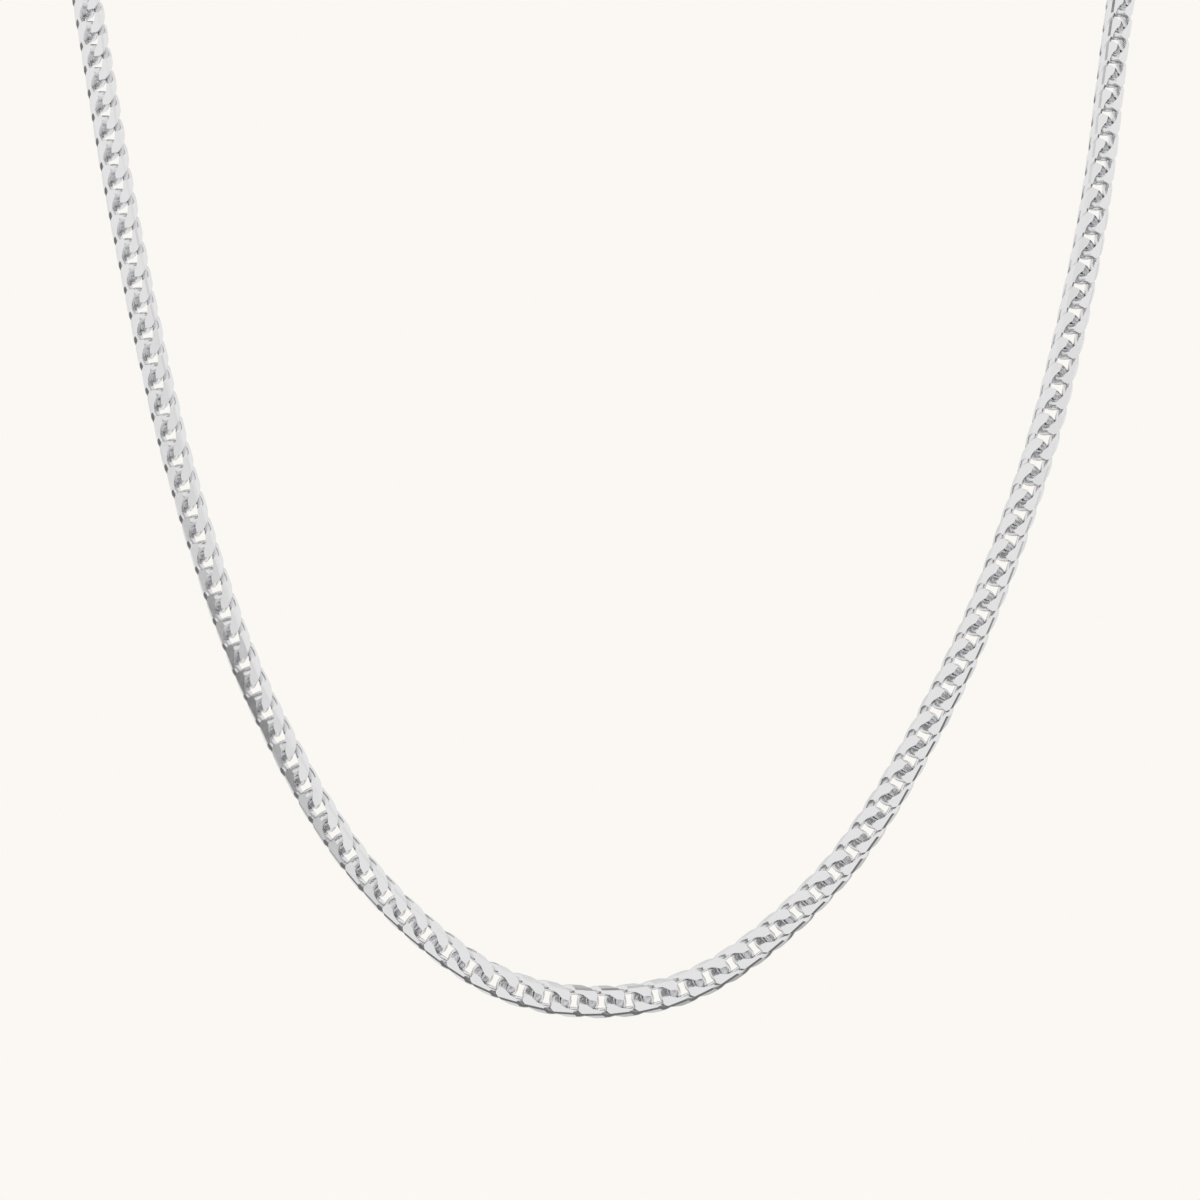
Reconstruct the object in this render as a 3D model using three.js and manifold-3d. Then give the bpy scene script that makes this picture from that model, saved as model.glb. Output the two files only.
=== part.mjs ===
import * as THREE from 'three';
import { mergeVertices } from 'three/addons/utils/BufferGeometryUtils.js';
import Module from 'manifold-3d';

const wasm = await Module();
wasm.setup();

// Chain necklace worn round a neck, in millimetres.
// +Z is up, the wearer looks along -Y, and the origin is where the clasp's inner face meets the nape.
// The chain is a row of flat oval links, drawn here as one band of the chain's outer section.

// The worn loop, along the chain's middle line: its widest across the neck, and from the nape
// forwards to the front and down to the lowest point
const LOOP_WIDTH = 110.0;
const LOOP_FORWARD = 104.0;
const LOOP_DROP = 137.0;

// Chain: the band's section, with its edges cut as the links' outer edges are rounded
const CHAIN_WIDTH = 3.0;
const CHAIN_THICKNESS = 1.5;
const CHAIN_EDGE_CUT = 0.42;
const CHAIN_STEP = 6.4;

// Clasp: one plain piece, an oval body with a thinner lug and eye at each end for the chain's end rings
const CLASP_LENGTH = 13.0;
const CLASP_BODY_LENGTH = 8.6;
const CLASP_BODY_HEIGHT = 5.2;
const CLASP_THICKNESS = 2.4;
const CLASP_EDGE_ROUND = 0.35;
const LUG_THICKNESS = 1.1;
const LUG_EDGE_ROUND = 0.15;
const EYE_RADIUS = 0.7;
const EYE_WALL = 0.7;
const THUMB_HOLE_LENGTH = 4.4;
const THUMB_HOLE_HEIGHT = 2.2;
const CLASP_CURVE_SEGMENTS = 12;
const CLASP_ROUND_STEPS = 2;

// Fit: the space between the chain's end and the clasp
const CHAIN_TO_CLASP_GAP = 0.3;

// Where the chain meets the clasp
const CHAIN_END_SHARE = (CLASP_LENGTH / 2 + CHAIN_TO_CLASP_GAP) / (LOOP_WIDTH / 2);
const NAPE_DEPTH = CLASP_THICKNESS / 2;

// The chain's route from the left of the nape, down the front and back up to the right of the nape.
// across, forward and down are shares of half the loop's width, its forward reach and its drop.
// turn is the way that the flat face looks, in degrees about +Z: 0 towards -Y, 90 towards +X.
// dip is how far the face looks down, in degrees.
const ROUTE = [
  { across: -CHAIN_END_SHARE, forward: 0, down: 0, turn: -180, dip: 0 },
  { across: -0.345, forward: 0.000, down: -0.010, turn: -175, dip: 0 },
  { across: -0.684, forward: 0.069, down: -0.025, turn: -145, dip: 0 },
  { across: -0.931, forward: 0.233, down: -0.015, turn: -112, dip: 0 },
  { across: -1.000, forward: 0.454, down: 0.055, turn: -80, dip: 0 },
  { across: -0.953, forward: 0.651, down: 0.180, turn: -40, dip: 0 },
  { across: -0.873, forward: 0.796, down: 0.333, turn: -18, dip: 2 },
  { across: -0.793, forward: 0.885, down: 0.499, turn: -18, dip: 4 },
  { across: -0.695, forward: 0.947, down: 0.662, turn: -20, dip: 7 },
  { across: -0.562, forward: 0.983, down: 0.808, turn: -20, dip: 11 },
  { across: -0.375, forward: 0.998, down: 0.928, turn: -11, dip: 8 },
  { across: -0.138, forward: 1.001, down: 0.998, turn: -2, dip: 0 },
  { across: 0.125, forward: 1.001, down: 0.998, turn: 0, dip: -3 },
  { across: 0.367, forward: 0.998, down: 0.928, turn: 1, dip: -3 },
  { across: 0.560, forward: 0.983, down: 0.808, turn: 1, dip: 0 },
  { across: 0.711, forward: 0.947, down: 0.662, turn: 4, dip: 0 },
  { across: 0.816, forward: 0.885, down: 0.499, turn: 17, dip: 0 },
  { across: 0.880, forward: 0.796, down: 0.333, turn: 30, dip: 0 },
  { across: 0.953, forward: 0.651, down: 0.180, turn: 48, dip: 0 },
  { across: 1.000, forward: 0.454, down: 0.055, turn: 80, dip: 0 },
  { across: 0.931, forward: 0.233, down: -0.015, turn: 112, dip: 0 },
  { across: 0.684, forward: 0.069, down: -0.025, turn: 145, dip: 0 },
  { across: 0.345, forward: 0.000, down: -0.010, turn: 175, dip: 0 },
  { across: CHAIN_END_SHARE, forward: 0, down: 0, turn: 180, dip: 0 },
];

// A smooth curve through the route, whose frames keep the flat face turned as the route says
class ChainRoute extends THREE.Curve {
  constructor(route) {
    super();
    this.route = route;
    this.spline = new THREE.CatmullRomCurve3(route.map(({ across, forward, down }) => new THREE.Vector3(
      across * LOOP_WIDTH / 2,
      NAPE_DEPTH - forward * LOOP_FORWARD,
      -down * LOOP_DROP,
    )));
  }

  getPoint(t, target = new THREE.Vector3()) {
    return this.spline.getPoint(t, target);
  }

  // The way that the flat face looks at parameter t
  getFacing(t) {
    const place = t * (this.route.length - 1);
    const before = Math.min(Math.floor(place), this.route.length - 2);
    const share = place - before;
    const from = this.route[before];
    const to = this.route[before + 1];
    const turn = THREE.MathUtils.degToRad(THREE.MathUtils.lerp(from.turn, to.turn, share));
    const dip = THREE.MathUtils.degToRad(THREE.MathUtils.lerp(from.dip, to.dip, share));
    return new THREE.Vector3(
      Math.sin(turn) * Math.cos(dip),
      -Math.cos(turn) * Math.cos(dip),
      -Math.sin(dip),
    );
  }

  computeFrenetFrames(segments) {
    const tangents = [];
    const normals = [];
    const binormals = [];
    for (let i = 0; i <= segments; i += 1) {
      const t = this.getUtoTmapping(i / segments);
      const tangent = this.getTangent(t);
      const facing = this.getFacing(t);
      const normal = facing.addScaledVector(tangent, -facing.dot(tangent)).normalize();
      tangents.push(tangent);
      normals.push(normal);
      binormals.push(new THREE.Vector3().crossVectors(tangent, normal));
    }
    return { tangents, normals, binormals };
  }
}

// The band's section: thickness along x, width along y, with cut corners
function chainSection() {
  const halfThickness = CHAIN_THICKNESS / 2;
  const halfWidth = CHAIN_WIDTH / 2;
  const cut = CHAIN_EDGE_CUT;
  return new THREE.Shape([
    new THREE.Vector2(halfThickness, -halfWidth + cut),
    new THREE.Vector2(halfThickness, halfWidth - cut),
    new THREE.Vector2(halfThickness - cut, halfWidth),
    new THREE.Vector2(-halfThickness + cut, halfWidth),
    new THREE.Vector2(-halfThickness, halfWidth - cut),
    new THREE.Vector2(-halfThickness, -halfWidth + cut),
    new THREE.Vector2(-halfThickness + cut, -halfWidth),
    new THREE.Vector2(halfThickness - cut, -halfWidth),
  ]);
}

function makeChain() {
  const route = new ChainRoute(ROUTE);
  const geometry = new THREE.ExtrudeGeometry(chainSection(), {
    steps: Math.round(route.getLength() / CHAIN_STEP),
    extrudePath: route,
  });
  const silver = new THREE.MeshStandardMaterial({ color: 0xd9d9dc, roughness: 0.18, metalness: 1.0 });
  const chain = new THREE.Mesh(geometry, silver);
  chain.name = 'chain';
  return chain;
}

// A plate of the given thickness about the clasp's middle plane, with rounded edges
function roundedPlate(outline, thickness, edgeRound) {
  const geometry = new THREE.ExtrudeGeometry(outline, {
    depth: thickness - 2 * edgeRound,
    curveSegments: CLASP_CURVE_SEGMENTS,
    bevelEnabled: true,
    bevelThickness: edgeRound,
    bevelSize: edgeRound,
    bevelOffset: -edgeRound,
    bevelSegments: CLASP_ROUND_STEPS,
  });
  return geometry.translate(0, 0, edgeRound - thickness / 2);
}

// The lug plate's outline: a bar with round ends, and an eye in each end
function lugOutline() {
  const endRadius = EYE_RADIUS + EYE_WALL;
  const eyeX = CLASP_LENGTH / 2 - endRadius;
  const outline = new THREE.Shape();
  outline.absarc(eyeX, 0, endRadius, -Math.PI / 2, Math.PI / 2, false);
  outline.absarc(-eyeX, 0, endRadius, Math.PI / 2, 3 * Math.PI / 2, false);
  for (const side of [-1, 1]) {
    const eye = new THREE.Path();
    eye.absarc(side * eyeX, 0, EYE_RADIUS, 0, 2 * Math.PI, true);
    outline.holes.push(eye);
  }
  return outline;
}

function bodyOutline() {
  const outline = new THREE.Shape();
  outline.absellipse(0, 0, CLASP_BODY_LENGTH / 2, CLASP_BODY_HEIGHT / 2, 0, 2 * Math.PI, false);
  return outline;
}

// The cutter for the hole in the body's middle, longer than the body is thick
function thumbHole() {
  const outline = new THREE.Shape();
  outline.absellipse(0, 0, THUMB_HOLE_LENGTH / 2, THUMB_HOLE_HEIGHT / 2, 0, 2 * Math.PI, false);
  const geometry = new THREE.ExtrudeGeometry(outline, {
    depth: 2 * CLASP_THICKNESS,
    curveSegments: CLASP_CURVE_SEGMENTS,
    bevelEnabled: false,
  });
  return geometry.translate(0, 0, -CLASP_THICKNESS);
}

function toSolid(geometry) {
  geometry.deleteAttribute('normal');
  geometry.deleteAttribute('uv');
  const merged = mergeVertices(geometry);
  return new wasm.Manifold(new wasm.Mesh({
    numProp: 3,
    vertProperties: Float32Array.from(merged.attributes.position.array),
    triVerts: Uint32Array.from(merged.index.array),
  }));
}

function toGeometry(solid) {
  const mesh = solid.getMesh();
  const geometry = new THREE.BufferGeometry();
  geometry.setAttribute('position', new THREE.BufferAttribute(mesh.vertProperties, mesh.numProp));
  geometry.setIndex(new THREE.BufferAttribute(mesh.triVerts, 1));
  geometry.computeVertexNormals();
  return geometry;
}

function makeClasp() {
  const lugs = toSolid(roundedPlate(lugOutline(), LUG_THICKNESS, LUG_EDGE_ROUND));
  const body = toSolid(roundedPlate(bodyOutline(), CLASP_THICKNESS, CLASP_EDGE_ROUND));
  const geometry = toGeometry(lugs.add(body).subtract(toSolid(thumbHole())));
  const silver = new THREE.MeshStandardMaterial({ color: 0xd4d4d8, roughness: 0.2, metalness: 1.0 });
  const clasp = new THREE.Mesh(geometry, silver);
  clasp.name = 'clasp';
  // The plates are drawn lying in XY. They are stood up, with their inner face at the nape
  clasp.rotation.x = -Math.PI / 2;
  clasp.position.y = NAPE_DEPTH;
  return clasp;
}

const necklace = new THREE.Group();
necklace.add(makeChain(), makeClasp());

export default necklace;
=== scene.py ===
# %% [markdown]
# # A silver neck chain, held in the form it takes when worn
#
# The chain is about two hundred identical oval links. Each link is a ring of wire that is twisted, so
# that one side of each end stands out to the front and the other to the back, and its neighbours hook
# in flat. The chain is then pressed and cut with a diamond tool along its edges, its two faces and the
# slopes between them, which leaves small mirror faces on every link.
#
# This script models one link, sets copies of it along the worn route, and lights them as a small
# jewel is lit: by a few large soft lights in a dark room, which the polished faces mirror.

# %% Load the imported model
import math

import bmesh
import bpy
import numpy as np
from mathutils import Matrix, Vector


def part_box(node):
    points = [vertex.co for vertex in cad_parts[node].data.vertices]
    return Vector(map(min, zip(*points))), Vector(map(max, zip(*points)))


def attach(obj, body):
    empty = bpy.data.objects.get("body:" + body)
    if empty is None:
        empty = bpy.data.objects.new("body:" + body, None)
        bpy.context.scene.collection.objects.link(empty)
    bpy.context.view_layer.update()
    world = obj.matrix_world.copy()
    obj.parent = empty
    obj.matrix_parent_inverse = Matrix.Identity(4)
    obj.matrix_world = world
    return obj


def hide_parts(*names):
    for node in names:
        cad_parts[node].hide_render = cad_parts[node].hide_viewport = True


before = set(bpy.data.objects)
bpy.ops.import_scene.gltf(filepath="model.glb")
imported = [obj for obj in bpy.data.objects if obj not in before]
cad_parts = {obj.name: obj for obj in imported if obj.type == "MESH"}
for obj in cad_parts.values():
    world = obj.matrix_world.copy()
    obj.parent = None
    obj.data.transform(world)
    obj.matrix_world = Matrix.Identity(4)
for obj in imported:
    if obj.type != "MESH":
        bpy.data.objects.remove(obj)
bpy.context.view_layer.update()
MM = 0.001

# %% [markdown]
# ## Camera
#
# The photograph looks straight at the front of the neck, from far enough away that the chain hardly
# narrows with depth. The frame is square and 109 mm wide at the lowest link. The top of the loop
# runs out of the frame, so the camera's height comes from the lowest link, which sits five sixths of
# the way down the picture. Sideways, the loop's middle falls two pixels right of the picture's.

# %% Camera
PHOTO_WIDTH_PX = 1200
CHAIN_WIDTH_PX = 33.0
LOOP_MIDDLE_X_PX = 602
LOWEST_LINK_Y_PX = 1000
CHAIN_WIDTH_MM = 3.0
CHAIN_THICKNESS_MM = 1.5
MM_PER_PX = CHAIN_WIDTH_MM / CHAIN_WIDTH_PX
CAMERA_DISTANCE = 800 * MM
CLIP_START = 10 * MM
SENSOR_MM = 36.0
# the chain's middle line at its lowest link
FRONT_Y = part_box("chain")[0].y + CHAIN_THICKNESS_MM / 2 * MM
LOWEST_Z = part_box("chain")[0].z + CHAIN_WIDTH_MM / 2 * MM


def make_camera():
    frame_width = PHOTO_WIDTH_PX * MM_PER_PX * MM
    centre_px = PHOTO_WIDTH_PX / 2
    x = (centre_px - LOOP_MIDDLE_X_PX) * MM_PER_PX * MM
    z = LOWEST_Z + (LOWEST_LINK_Y_PX - centre_px) * MM_PER_PX * MM
    data = bpy.data.cameras.new("camera")
    data.sensor_width = SENSOR_MM
    data.lens = SENSOR_MM * CAMERA_DISTANCE / frame_width
    data.clip_start = CLIP_START
    camera = bpy.data.objects.new("camera", data)
    camera.location = (x, FRONT_Y - CAMERA_DISTANCE, z)
    camera.rotation_euler = (math.radians(90), 0, 0)
    bpy.context.scene.collection.objects.link(camera)
    bpy.context.scene.camera = camera
    print("camera: lens", round(data.lens, 1), "mm, height", round(z / MM, 1), "mm")


make_camera()

# %% [markdown]
# ## The chain's route
#
# A worn chain lies where gravity and the neck put it. The few points below were chosen from the
# photograph, as shares of the loop's width, its forward reach and its drop, and a smooth curve
# runs through them. Each point also says which way the chain's flat face looks there, because a
# flat chain follows the skin: forwards on the chest, outwards at the sides and backwards at the nape.
# Blender's own curve objects twist their frames as they please, so the spline is worked out here.

# %% Route
# the loop's sizes, in millimetres
LOOP_HALF_WIDTH = 55.0
LOOP_FORWARD = 104.0
LOOP_DROP = 137.0
NAPE_DEPTH = 1.2
CHAIN_END_X = 6.8
CHAIN_END_SHARE = CHAIN_END_X / LOOP_HALF_WIDTH
STEPS_PER_SPAN = 200

# across, forward, down, turn in degrees about +Z, dip in degrees
ROUTE = [
    (-CHAIN_END_SHARE, 0, 0, -180, 0),
    (-0.345, 0.000, -0.010, -175, 0),
    (-0.684, 0.069, -0.025, -145, 0),
    (-0.931, 0.233, -0.015, -112, 0),
    (-1.000, 0.454, 0.055, -80, 0),
    (-0.953, 0.651, 0.180, -40, 0),
    (-0.873, 0.796, 0.333, -18, 2),
    (-0.793, 0.885, 0.499, -18, 4),
    (-0.695, 0.947, 0.662, -20, 7),
    (-0.562, 0.983, 0.808, -20, 11),
    (-0.375, 0.998, 0.928, -11, 8),
    (-0.138, 1.001, 0.998, -2, 0),
    (0.125, 1.001, 0.998, 0, -3),
    (0.367, 0.998, 0.928, 1, -3),
    (0.560, 0.983, 0.808, 1, 0),
    (0.711, 0.947, 0.662, 4, 0),
    (0.816, 0.885, 0.499, 17, 0),
    (0.880, 0.796, 0.333, 30, 0),
    (0.953, 0.651, 0.180, 48, 0),
    (1.000, 0.454, 0.055, 80, 0),
    (0.931, 0.233, -0.015, 112, 0),
    (0.684, 0.069, -0.025, 145, 0),
    (0.345, 0.000, -0.010, 175, 0),
    (CHAIN_END_SHARE, 0, 0, 180, 0),
]


def spline_span(p0, p1, p2, p3, shares):
    """One span of a centripetal Catmull-Rom spline, from p1 to p2."""
    d01, d12, d23 = (math.sqrt(np.linalg.norm(b - a)) for a, b in ((p0, p1), (p1, p2), (p2, p3)))
    tangent1 = ((p1 - p0) / d01 - (p2 - p0) / (d01 + d12) + (p2 - p1) / d12) * d12
    tangent2 = ((p2 - p1) / d12 - (p3 - p1) / (d12 + d23) + (p3 - p2) / d23) * d12
    t = shares[:, None]
    return (
        p1
        + tangent1 * t
        + (-3 * p1 + 3 * p2 - 2 * tangent1 - tangent2) * t**2
        + (2 * p1 - 2 * p2 + tangent1 + tangent2) * t**3
    )


def sample_route():
    """Places, facings and lengths along the route, in metres."""
    rows = np.array(ROUTE, float)
    points = np.column_stack((
        rows[:, 0] * LOOP_HALF_WIDTH,
        NAPE_DEPTH - rows[:, 1] * LOOP_FORWARD,
        -rows[:, 2] * LOOP_DROP,
    )) * MM
    ends = np.vstack((2 * points[0] - points[1], points, 2 * points[-1] - points[-2]))
    shares = np.arange(STEPS_PER_SPAN) / STEPS_PER_SPAN
    places = [spline_span(*ends[i:i + 4], shares) for i in range(len(points) - 1)]
    places = np.vstack(places + [points[-1:]])
    row_at = np.append(np.concatenate([i + shares for i in range(len(points) - 1)]), len(points) - 1)
    turn, dip = (np.radians(np.interp(row_at, range(len(rows)), rows[:, k])) for k in (3, 4))
    facings = np.column_stack((
        np.sin(turn) * np.cos(dip), -np.cos(turn) * np.cos(dip), -np.sin(dip),
    ))
    lengths = np.append(0, np.cumsum(np.linalg.norm(np.diff(places, axis=0), axis=1)))
    return places, facings, lengths


PLACES, FACINGS, LENGTHS = sample_route()
ROUTE_LENGTH = LENGTHS[-1]
print("route:", round(ROUTE_LENGTH / MM, 1), "mm")

# %% [markdown]
# ## A frame for each link
#
# A real link lines up with the pull of its two neighbours and keeps its flat face to the skin. So a
# link's frame takes its line from two points of the route, one a little before it and one a little
# after, and its face from the facings in the list. The third direction is square to both.

# %% Frame on the route
TANGENT_REACH = 0.6 * MM


def blend(table, length):
    """The table's three values at this length along the route."""
    return np.array([np.interp(length, LENGTHS, table[:, k]) for k in range(3)])


def frame_at(length):
    """A matrix whose X runs along the chain and whose Z looks out of its flat face."""
    before, after = blend(PLACES, length - TANGENT_REACH), blend(PLACES, length + TANGENT_REACH)
    along = Vector(after - before).normalized()
    facing = Vector(blend(FACINGS, length))
    out = (facing - facing.dot(along) * along).normalized()
    across = out.cross(along)
    turn = Matrix((along, across, out)).transposed().to_4x4()
    return Matrix.Translation(Vector(blend(PLACES, length))) @ turn


print("middle of the route at x, y, z in mm:", (blend(PLACES, ROUTE_LENGTH / 2) / MM).round(1))

# %% [markdown]
# ## One link
#
# The real link starts as an oval ring of round wire. Here a circle of wire is pulled along the ring,
# by extruding the straight stretches and spinning the corners. That keeps the wire even all the way,
# as squashing a torus would not. Six sides to the wire are enough, because two hundred copies are made
# and the cuts, which come later, carry the shine. The circle is drawn round the wire, not inside it,
# so that its flats stand where the real wire's sides are.

# %% Ring of wire
PITCH_PX = 27.4
PITCH_WANTED = PITCH_PX * MM_PER_PX * MM
WIRE = 0.94 * MM
RING_HALF_WIDTH = 1.08 * MM
CORNER_RADIUS = 0.92 * MM
WIRE_SIDES = 6
CORNER_STEPS = 3


def verts_of(geom):
    return [e for e in geom if isinstance(e, bmesh.types.BMVert)]


def edges_of(geom):
    return [e for e in geom if isinstance(e, bmesh.types.BMEdge)]


def make_ring(half_length, half_width, corner, wire, sides, steps):
    """A closed ring of round wire with round corners, lying in XY with its length along X."""
    bm = bmesh.new()
    half_x, half_y = half_length - corner, half_width - corner
    start = Matrix.Translation((-half_x, half_width, 0)) @ Matrix.Rotation(math.radians(90), 4, "Y")
    bmesh.ops.create_circle(
        bm, segments=sides, radius=wire / 2 / math.cos(math.pi / sides), matrix=start,
    )
    edges = bm.edges[:]
    stretches = (
        ((2 * half_x, 0, 0), (half_x, half_y, 0)),
        ((0, -2 * half_y, 0), (half_x, -half_y, 0)),
        ((-2 * half_x, 0, 0), (-half_x, -half_y, 0)),
        ((0, 2 * half_y, 0), (-half_x, half_y, 0)),
    )
    for run, corner_centre in stretches:
        moved = bmesh.ops.extrude_edge_only(bm, edges=edges)["geom"]
        bmesh.ops.translate(bm, vec=run, verts=verts_of(moved))
        edges = edges_of(bmesh.ops.spin(
            bm, geom=edges_of(moved), cent=corner_centre, axis=(0, 0, -1), dvec=(0, 0, 0),
            angle=math.pi / 2, steps=steps, use_merge=False, use_duplicate=False,
        )["geom_last"])
    seam = wire / 100
    bmesh.ops.remove_doubles(bm, verts=bm.verts, dist=seam)
    bmesh.ops.recalc_face_normals(bm, faces=bm.faces)
    for face in bm.faces:
        face.smooth = True
    return bm


# %% [markdown]
# ## Press and twist
#
# The twist lifts one side of each end to the front and pushes the other to the back, so that
# neighbours hook without standing proud. The press squares the wire's round section, and spreads the
# raised corners inwards into tongues that close over the neighbour. Both only move the ring's points.
# A twist modifier would also turn the wire's section and draw the link's sides in.

# %% Press and twist
END_HALF_DEPTH = 0.58 * MM
# how much of that depth is missing at the link's middle, as a share
MIDDLE_THINNER = 0.3
# 1 keeps the section as it is, and smaller powers make it squarer
SECTION_ROUNDNESS = 0.35
CROSSING_LIFT = 0.60 * MM
TONGUE_REACH = 0.50 * MM
TONGUE_RISE = 0.12 * MM
# how far to the raised side the tongue begins, and where it is full
TONGUE_START = 0.15 * MM
TONGUE_FULL = 0.70 * MM
# a point's layer is its height as a share of the wire's radius: a point below the first layer stays
# in the middle, and one below the second, or hardly inside the wire's middle line, is not spread
MIDDLE_LAYER = 0.1
LEAST_LAYER = 0.25
LEAST_INSIDE = WIRE / 10


def inside_middle_line(x, y, half_length):
    """How far a point lies inside the middle line of the ring's wire."""
    corner_x = abs(x) - (half_length - CORNER_RADIUS)
    corner_y = abs(y) - (RING_HALF_WIDTH - CORNER_RADIUS)
    if corner_x <= 0:
        return RING_HALF_WIDTH - abs(y)
    return CORNER_RADIUS - math.hypot(corner_x, max(corner_y, 0))


def press_and_twist(bm, pitch, half_length):
    """Squares the section, thins the middle, lifts one side of each end and spreads its corner."""
    for vert in bm.verts:
        x, y, z = vert.co
        layer = z / (WIRE / 2)
        depth = END_HALF_DEPTH * (1 - MIDDLE_THINNER * (1 - abs(x) / half_length))
        pressed = 0
        if abs(layer) > MIDDLE_LAYER:
            pressed = math.copysign(abs(layer) ** SECTION_ROUNDNESS, layer)
        vert.co.z = pressed * depth + CROSSING_LIFT * (y / RING_HALF_WIDTH) * (x / (pitch / 2))
        if abs(layer) < LEAST_LAYER or inside_middle_line(x, y, half_length) < LEAST_INSIDE:
            continue
        end, face = math.copysign(1, x), math.copysign(1, layer)
        share = (y * end * face - TONGUE_START) / (TONGUE_FULL - TONGUE_START)
        share = min(max(share, 0), 1)
        vert.co.x -= end * TONGUE_REACH * share
        vert.co.z += face * TONGUE_RISE * share


# %% [markdown]
# ## Diamond cuts
#
# A diamond tool takes a slice off the wire and leaves one small mirror each time: that is what
# flashes. Here each cut slices the mesh with a plane and closes the hole with one flat face. A boolean
# would need a cutting solid for each of the fourteen cuts. Where the chain lies level and is seen from
# the front, the flattest cut mirrors the studio's bright sheet, the next one the dark room, and the
# steepest the white paper behind.

# %% Diamond cuts
EDGE_TO_EDGE = 2.96 * MM
# slope of the cut from the face, in degrees, and its distance from the link's middle
FACE_CUTS = ((5, 0.73 * MM), (38, 1.15 * MM), (58, 1.31 * MM))
# points nearer to the cutting plane than this, in metres, count as on it
CUT_TOLERANCE = 1e-8


def cut_flat(bm, distance, direction):
    """Cuts away what lies beyond a plane and closes each cut with one flat face."""
    normal = Vector(direction).normalized()
    cut = bmesh.ops.bisect_plane(
        bm, geom=bm.verts[:] + bm.edges[:] + bm.faces[:], dist=CUT_TOLERANCE,
        plane_co=normal * distance, plane_no=normal, clear_outer=True,
    )["geom_cut"]
    rim = [e for e in edges_of(cut) if e.is_boundary]
    for face in bmesh.ops.edgeloop_fill(bm, edges=rim)["faces"]:
        face.smooth = False
        face.normal_update()
        if face.normal.dot(normal) < 0:
            face.normal_flip()
        for edge in face.edges:
            edge.smooth = False


def make_link(pitch):
    half_length = pitch / 2 + WIRE / 2
    bm = make_ring(half_length, RING_HALF_WIDTH, CORNER_RADIUS, WIRE, WIRE_SIDES, CORNER_STEPS)
    press_and_twist(bm, pitch, half_length)
    for side in (1, -1):
        cut_flat(bm, EDGE_TO_EDGE / 2, (0, side, 0))
    for slope, distance in FACE_CUTS:
        sine, cosine = math.sin(math.radians(slope)), math.cos(math.radians(slope))
        for side in (1, -1):
            for face in (1, -1):
                cut_flat(bm, distance, (0, side * sine, face * cosine))
    mesh = bpy.data.meshes.new("link")
    bm.to_mesh(mesh)
    print("link:", len(mesh.polygons), "faces, closed:", all(e.is_manifold for e in bm.edges))
    bm.free()
    return mesh


# %% [markdown]
# ## End rings
#
# A plain oval ring of thinner wire joins each end of the chain to the clasp. It comes from the same
# function as the links, because it is the same kind of ring without the press, the twist and the cuts.

# %% End rings
END_RING_WIRE = 0.6 * MM
END_RING_HALF_LENGTH = 1.5 * MM
END_RING_HALF_WIDTH = 0.9 * MM
END_RING_SIDES = 8
END_RING_STEPS = 6
# from the route's end to the ring's middle, towards the chain
END_RING_MIDDLE = 0.2 * MM


def add_end_rings(bm):
    """A plain oval ring at each end, lying flat through the clasp's eye and the last link."""
    ring = make_ring(
        END_RING_HALF_LENGTH, END_RING_HALF_WIDTH, END_RING_HALF_WIDTH, END_RING_WIRE,
        END_RING_SIDES, END_RING_STEPS,
    )
    mesh = bpy.data.meshes.new("end_ring")
    ring.to_mesh(mesh)
    ring.free()
    for side in (-1, 1):
        start = len(bm.verts)
        bm.from_mesh(mesh)
        bm.verts.ensure_lookup_table()
        x = side * (CHAIN_END_X * MM + END_RING_MIDDLE)
        bmesh.ops.translate(bm, vec=(x, NAPE_DEPTH * MM, 0), verts=bm.verts[start:])
    print("end rings:", 2 * len(mesh.polygons), "faces")


# %% [markdown]
# ## The chain
#
# An array along a curve would bend every link. Real links stay stiff and only turn at their joints,
# so each copy is set whole: at its length along the route, with its line along the chain and its
# face turned out. A hand never lays two links quite alike, so each gets a degree or two of its own.

# %% Chain
# from each end of the route to the middle of the nearest link
END_RING_REACH = 2.65 * MM
LINK_PLAY = math.radians(1.2)
PLAY_SEED = 7


def make_chain():
    first = END_RING_REACH
    run = ROUTE_LENGTH - 2 * first
    count = round(run / PITCH_WANTED) + 1
    pitch = run / (count - 1)
    link = make_link(pitch)
    rng = np.random.default_rng(PLAY_SEED)
    bm = bmesh.new()
    for i in range(count):
        start = len(bm.verts)
        bm.from_mesh(link)
        bm.verts.ensure_lookup_table()
        play = rng.normal(0, LINK_PLAY, 3)
        place = frame_at(first + i * pitch)
        for axis, angle in zip("XYZ", play):
            place = place @ Matrix.Rotation(float(angle), 4, axis)
        bmesh.ops.transform(bm, matrix=place, verts=bm.verts[start:])
    add_end_rings(bm)
    mesh = bpy.data.meshes.new("chain_links")
    bm.to_mesh(mesh)
    bm.free()
    chain = bpy.data.objects.new("chain_links", mesh)
    bpy.context.scene.collection.objects.link(chain)
    triangles = sum(len(p.vertices) - 2 for p in mesh.polygons)
    print("chain:", count, "links, pitch", round(pitch / MM, 3), "mm,", triangles, "triangles")
    return chain


chain_links = make_chain()

# %% [markdown]
# ## Silver
#
# Sterling silver, drawn as wire and then tumbled and buffed until it mirrors. It is a metal, so its
# colour is in its reflection: nearly white. Buffing leaves it not quite a perfect mirror, and the
# tumbling leaves faint waves that bend the reflections a little, half a millimetre or more apart.

# %% Silver material
SILVER_HEX = "#F1F1F2"
# the waves take the roughness from this share of its mean to this multiple of it
ROUGHNESS_SPREAD = (0.7, 1.3)


def linear(hex_colour):
    """An sRGB hex colour as linear red, green, blue and alpha."""
    values = [int(hex_colour[i:i + 2], 16) / 255 for i in (1, 3, 5)]
    return [v / 12.92 if v <= 0.04045 else ((v + 0.055) / 1.055) ** 2.4 for v in values] + [1.0]


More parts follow.
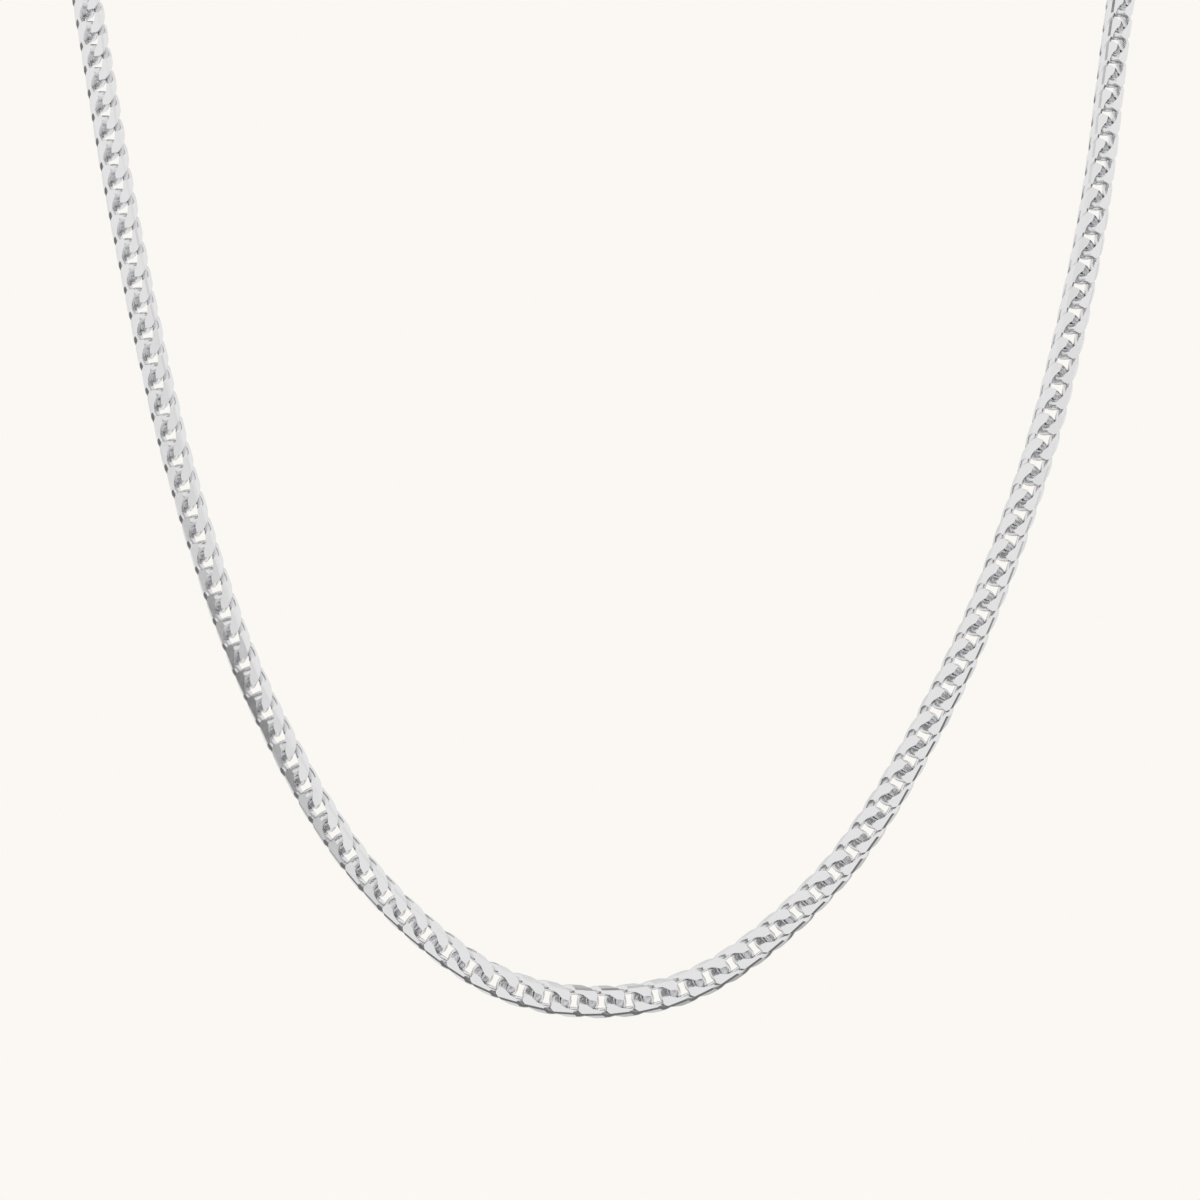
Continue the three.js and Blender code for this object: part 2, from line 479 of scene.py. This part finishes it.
def add_node(tree, kind, settings=None, values=None, links=None):
    """Adds a node, sets its properties and input values, and links inputs to other sockets."""
    node = tree.nodes.new(kind)
    for name, value in (settings or {}).items():
        setattr(node, name, value)
    for name, value in (values or {}).items():
        node.inputs[name].default_value = value
    for name, socket in (links or {}).items():
        tree.links.new(socket, node.inputs[name])
    return node


def make_silver(name, roughness, wave_mm, wave_depth_mm):
    material = bpy.data.materials.new(name)
    material.use_nodes = True
    tree = material.node_tree
    shader = tree.nodes["Principled BSDF"]
    shader.inputs["Base Color"].default_value = linear(SILVER_HEX)
    shader.inputs["Metallic"].default_value = 1.0
    place = add_node(tree, "ShaderNodeTexCoord")
    waves = add_node(
        tree, "ShaderNodeTexNoise", links={"Vector": place.outputs["Object"]},
        values={"Scale": 1 / (wave_mm * MM), "Detail": 2.0, "Roughness": 0.5},
    )
    polish = add_node(
        tree, "ShaderNodeMapRange", links={"Value": waves.outputs["Fac"]},
        values={
            "To Min": roughness * ROUGHNESS_SPREAD[0], "To Max": roughness * ROUGHNESS_SPREAD[1],
        },
    )
    bump = add_node(
        tree, "ShaderNodeBump", links={"Height": waves.outputs["Fac"]},
        values={"Strength": 1.0, "Distance": wave_depth_mm * MM},
    )
    tree.links.new(polish.outputs["Result"], shader.inputs["Roughness"])
    tree.links.new(bump.outputs["Normal"], shader.inputs["Normal"])
    print("material:", name, "roughness", roughness)
    return material


polished_silver = make_silver(
    "sterling_silver_tumbled_and_diamond_cut", roughness=0.22, wave_mm=0.5, wave_depth_mm=0.004,
)
chain_links.data.materials.append(polished_silver)
clasp_silver = make_silver(
    "sterling_silver_cast_and_polished", roughness=0.18, wave_mm=0.8, wave_depth_mm=0.010,
)
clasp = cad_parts["clasp"]
clasp.data.materials.clear()
clasp.data.materials.append(clasp_silver)

# %% [markdown]
# ## Studio
#
# The photograph is a cut-out on warm white, with no shadow. A polished chain shows only what stands
# round it, so the light is a studio that the world's shader draws: a bright sheet round the lens, a
# soft box high at each side, white paper behind, and plain dark room below and between. A flat
# cut that mirrors the sheet reads light, and one that mirrors the room reads dark. Lamps would give
# only small hot spots.

# %% Light from all round
BACKGROUND_HEX = "#FBF8F3"
LIGHT_HEX = "#FFFFFF"
SHEET_BRIGHTNESS = 0.88
ROOM_BRIGHTNESS = 0.17
# a light's edge is the two values between which it fades from dark to light, of a direction's part
# towards the lens
LENS_SHEET = (0.50, 0.82)
# sideways, with this share of its part upwards added
SIDE_BOX = (0.80, 0.95)
SIDE_BOX_TILT = 0.8
# towards the lens, where the side boxes end
SIDE_BOX_BACK = (-0.55, -0.30)
# away from the lens
PAPER_BEHIND = (0.22, 0.55)


def make_world():
    world = bpy.data.worlds.new("studio")
    world.use_nodes = True
    tree = world.node_tree
    tree.nodes.clear()
    place = add_node(tree, "ShaderNodeTexCoord")
    axes = add_node(tree, "ShaderNodeSeparateXYZ", links={0: place.outputs["Generated"]})

    def fade(value, edge):
        return add_node(
            tree, "ShaderNodeMapRange", settings={"interpolation_type": "SMOOTHSTEP"},
            values={"From Min": edge[0], "From Max": edge[1]}, links={"Value": value},
        ).outputs["Result"]

    to_lens = add_node(
        tree, "ShaderNodeMath", settings={"operation": "MULTIPLY"},
        values={1: -1}, links={0: axes.outputs["Y"]},
    ).outputs[0]
    sideways = add_node(
        tree, "ShaderNodeMath", settings={"operation": "ABSOLUTE"}, links={0: axes.outputs["X"]},
    ).outputs[0]
    tilted = add_node(
        tree, "ShaderNodeMath", settings={"operation": "MULTIPLY_ADD"},
        values={1: SIDE_BOX_TILT}, links={0: axes.outputs["Z"], 2: sideways},
    ).outputs[0]
    boxes = add_node(
        tree, "ShaderNodeMath", settings={"operation": "MULTIPLY"},
        links={0: fade(tilted, SIDE_BOX), 1: fade(to_lens, SIDE_BOX_BACK)},
    ).outputs[0]
    all_lights = boxes
    for light in (fade(to_lens, LENS_SHEET), fade(axes.outputs["Y"], PAPER_BEHIND)):
        all_lights = add_node(
            tree, "ShaderNodeMath", settings={"operation": "MAXIMUM"},
            links={0: all_lights, 1: light},
        ).outputs[0]
    brightness = add_node(
        tree, "ShaderNodeMapRange", links={"Value": all_lights},
        values={"To Min": ROOM_BRIGHTNESS, "To Max": SHEET_BRIGHTNESS},
    )
    studio = add_node(
        tree, "ShaderNodeBackground", values={"Color": linear(LIGHT_HEX)},
        links={"Strength": brightness.outputs["Result"]},
    )
    backdrop = add_node(tree, "ShaderNodeBackground", values={"Color": linear(BACKGROUND_HEX)})
    seen = add_node(tree, "ShaderNodeLightPath")
    mix = add_node(
        tree, "ShaderNodeMixShader",
        links={0: seen.outputs["Is Camera Ray"], 1: studio.outputs[0], 2: backdrop.outputs[0]},
    )
    add_node(tree, "ShaderNodeOutputWorld", links={"Surface": mix.outputs[0]})
    bpy.context.scene.world = world
    print("studio:", len(tree.nodes), "nodes")


make_world()
bpy.context.scene.view_settings.view_transform = "Standard"

# %% [markdown]
# ## Floor
#
# The picture's background is one flat warm white, and the floor has the same colour. Painted paper
# would take this studio's dim light and read darker than the background, so the floor is black and
# gives its own light.

# %% Floor
FLOOR_DEPTH = 300 * MM
FLOOR_HALF_SIZE = 4000 * MM
FLOOR_PAINT_HEX = "#000000"


def make_floor():
    """A pale floor far below the worn chain, which the polished links don't mirror."""
    bm = bmesh.new()
    bmesh.ops.create_grid(bm, x_segments=1, y_segments=1, size=FLOOR_HALF_SIZE)
    bmesh.ops.translate(bm, vec=(0, 0, LOWEST_Z - FLOOR_DEPTH), verts=bm.verts[:])
    mesh = bpy.data.meshes.new("floor")
    bm.to_mesh(mesh)
    bm.free()
    floor = bpy.data.objects.new("floor", mesh)
    bpy.context.scene.collection.objects.link(floor)
    material = bpy.data.materials.new("warm_white_paper")
    material.use_nodes = True
    shader = material.node_tree.nodes["Principled BSDF"]
    shader.inputs["Base Color"].default_value = linear(FLOOR_PAINT_HEX)
    shader.inputs["Specular IOR Level"].default_value = 0
    shader.inputs["Emission Color"].default_value = linear(BACKGROUND_HEX)
    shader.inputs["Emission Strength"].default_value = 1.0
    mesh.materials.append(material)
    floor.visible_glossy = False
    floor.visible_diffuse = False
    print("floor:", round(FLOOR_DEPTH / MM), "mm below the lowest link")


make_floor()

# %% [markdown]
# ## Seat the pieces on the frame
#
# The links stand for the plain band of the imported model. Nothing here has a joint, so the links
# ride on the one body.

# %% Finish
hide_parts("chain")
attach(chain_links, "root")
